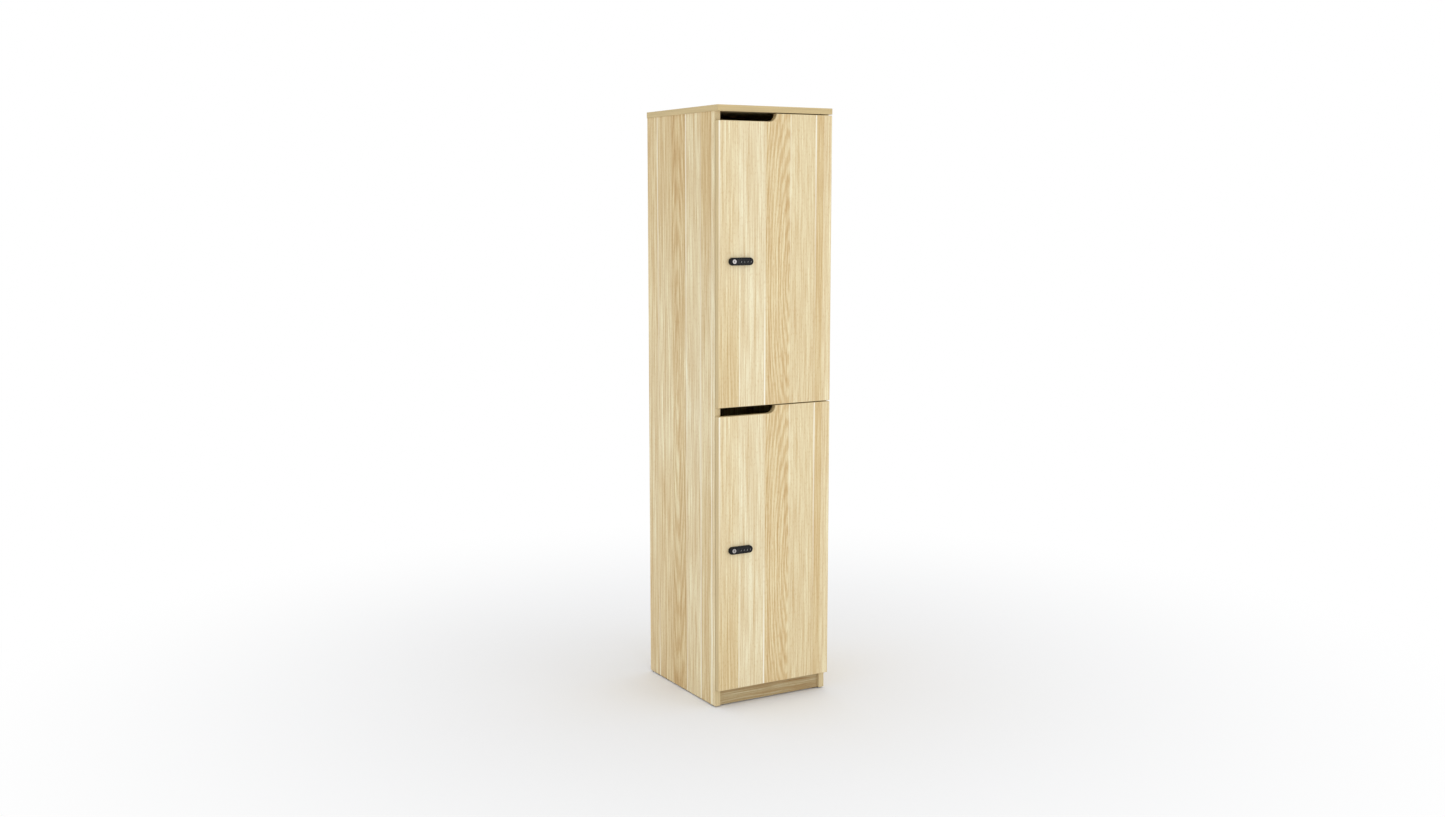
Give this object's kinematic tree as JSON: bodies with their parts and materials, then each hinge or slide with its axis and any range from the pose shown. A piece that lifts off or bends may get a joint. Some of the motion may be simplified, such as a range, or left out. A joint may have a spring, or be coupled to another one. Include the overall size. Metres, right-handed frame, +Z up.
{
  "type": "wooden locker",
  "caption": "Tall free-standing oak-faced locker with stacked compartments, hinged doors, a letter slot and a combination lock in each door.",
  "frame": {"origin": "middle of the overall box, on the floor", "axes": "+X to the right as seen from the doors, +Y into the depth (the doors face -Y), +Z up"},
  "size_m": [0.404, 0.468, 1.83],
  "materials": {
    "oak_board": "matt",
    "oak_edging": "satin",
    "beech": "raw",
    "black_plastic": "satin",
    "grey_plastic": "satin",
    "nickel": "nickel plated",
    "zinc": "zinc plated",
    "steel": "ground",
    "satin_silver": "satin chrome"
  },
  "bodies": {
    "carcass": {"left_side_panel": "oak_board", "right_side_panel": "oak_board", "top_panel": "oak_board", "middle_shelf": "oak_board", "bottom_panel": "oak_board", "kick_plate": "oak_board", "rear_rail": "oak_board", "back_panel": "oak_board", "left_side_edge_band": "oak_edging", "right_side_edge_band": "oak_edging", "top_edge_band": "oak_edging", "glide_feet": "black_plastic", "cam_fittings": "zinc", "cam_bolts": "zinc", "hinge_plate_screws": "zinc", "strike_screws": "zinc", "wood_dowels": "beech", "hinge_plates": "nickel", "strike_plates": "nickel", "lower_low_hinge_arm": "nickel", "lower_top_hinge_arm": "nickel", "upper_low_hinge_arm": "nickel", "upper_top_hinge_arm": "nickel"},
    "lower_door": {"lower_door_panel": "oak_board", "lower_door_edge_band": "oak_edging", "lower_low_hinge_cup": "nickel", "lower_top_hinge_cup": "nickel", "lower_cup_screws": "zinc", "lower_hinge_pins": "steel", "lower_lock_housing": "black_plastic", "lower_lock_face": "grey_plastic", "lower_lock_nut": "zinc", "lower_dial_shaft": "steel"},
    "lower_knob_and_latch": {"lower_knob": "black_plastic", "lower_latch": "zinc", "lower_latch_bolt": "zinc"},
    "lower_key_plug": {"lower_key_plug": "satin_silver"},
    "lower_dial_1": {"lower_dial_1": "black_plastic"},
    "lower_dial_2": {"lower_dial_2": "black_plastic"},
    "lower_dial_3": {"lower_dial_3": "black_plastic"},
    "lower_dial_4": {"lower_dial_4": "black_plastic"},
    "upper_door": {"upper_door_panel": "oak_board", "upper_door_edge_band": "oak_edging", "upper_low_hinge_cup": "nickel", "upper_top_hinge_cup": "nickel", "upper_cup_screws": "zinc", "upper_hinge_pins": "steel", "upper_lock_housing": "black_plastic", "upper_lock_face": "grey_plastic", "upper_lock_nut": "zinc", "upper_dial_shaft": "steel"},
    "upper_knob_and_latch": {"upper_knob": "black_plastic", "upper_latch": "zinc", "upper_latch_bolt": "zinc"},
    "upper_key_plug": {"upper_key_plug": "satin_silver"},
    "upper_dial_1": {"upper_dial_1": "black_plastic"},
    "upper_dial_2": {"upper_dial_2": "black_plastic"},
    "upper_dial_3": {"upper_dial_3": "black_plastic"},
    "upper_dial_4": {"upper_dial_4": "black_plastic"}
  },
  "joints": [
    {"name": "lower_door_hinge", "type": "hinge", "parent": "carcass", "child": "lower_door", "pos_m": [0.1945, -0.2155, 0.49425], "axis": [0, 0, 1], "range_deg": [0, 95]},
    {"name": "lower_knob_turn", "type": "hinge", "parent": "lower_door", "child": "lower_knob_and_latch", "pos_m": [-0.1499, -0.2275, 0.49425], "axis": [0, 1, 0], "range_deg": [0, 90]},
    {"name": "lower_key_turn", "type": "hinge", "parent": "lower_knob_and_latch", "child": "lower_key_plug", "pos_m": [-0.1499, -0.231, 0.49425], "axis": [0, 1, 0], "range_deg": [0, 90]},
    {"name": "lower_dial_1_spin", "type": "hinge", "parent": "lower_door", "child": "lower_dial_1", "pos_m": [-0.1256, -0.2285, 0.49425], "axis": [1, 0, 0], "continuous": true},
    {"name": "lower_dial_2_spin", "type": "hinge", "parent": "lower_door", "child": "lower_dial_2", "pos_m": [-0.1146, -0.2285, 0.49425], "axis": [1, 0, 0], "continuous": true},
    {"name": "lower_dial_3_spin", "type": "hinge", "parent": "lower_door", "child": "lower_dial_3", "pos_m": [-0.1036, -0.2285, 0.49425], "axis": [1, 0, 0], "continuous": true},
    {"name": "lower_dial_4_spin", "type": "hinge", "parent": "lower_door", "child": "lower_dial_4", "pos_m": [-0.0926, -0.2285, 0.49425], "axis": [1, 0, 0], "continuous": true},
    {"name": "upper_door_hinge", "type": "hinge", "parent": "carcass", "child": "upper_door", "pos_m": [0.1945, -0.2155, 1.37175], "axis": [0, 0, 1], "range_deg": [0, 95]},
    {"name": "upper_knob_turn", "type": "hinge", "parent": "upper_door", "child": "upper_knob_and_latch", "pos_m": [-0.1499, -0.2275, 1.37175], "axis": [0, 1, 0], "range_deg": [0, 90]},
    {"name": "upper_key_turn", "type": "hinge", "parent": "upper_knob_and_latch", "child": "upper_key_plug", "pos_m": [-0.1499, -0.231, 1.37175], "axis": [0, 1, 0], "range_deg": [0, 90]},
    {"name": "upper_dial_1_spin", "type": "hinge", "parent": "upper_door", "child": "upper_dial_1", "pos_m": [-0.1256, -0.2285, 1.37175], "axis": [1, 0, 0], "continuous": true},
    {"name": "upper_dial_2_spin", "type": "hinge", "parent": "upper_door", "child": "upper_dial_2", "pos_m": [-0.1146, -0.2285, 1.37175], "axis": [1, 0, 0], "continuous": true},
    {"name": "upper_dial_3_spin", "type": "hinge", "parent": "upper_door", "child": "upper_dial_3", "pos_m": [-0.1036, -0.2285, 1.37175], "axis": [1, 0, 0], "continuous": true},
    {"name": "upper_dial_4_spin", "type": "hinge", "parent": "upper_door", "child": "upper_dial_4", "pos_m": [-0.0926, -0.2285, 1.37175], "axis": [1, 0, 0], "continuous": true}
  ]
}
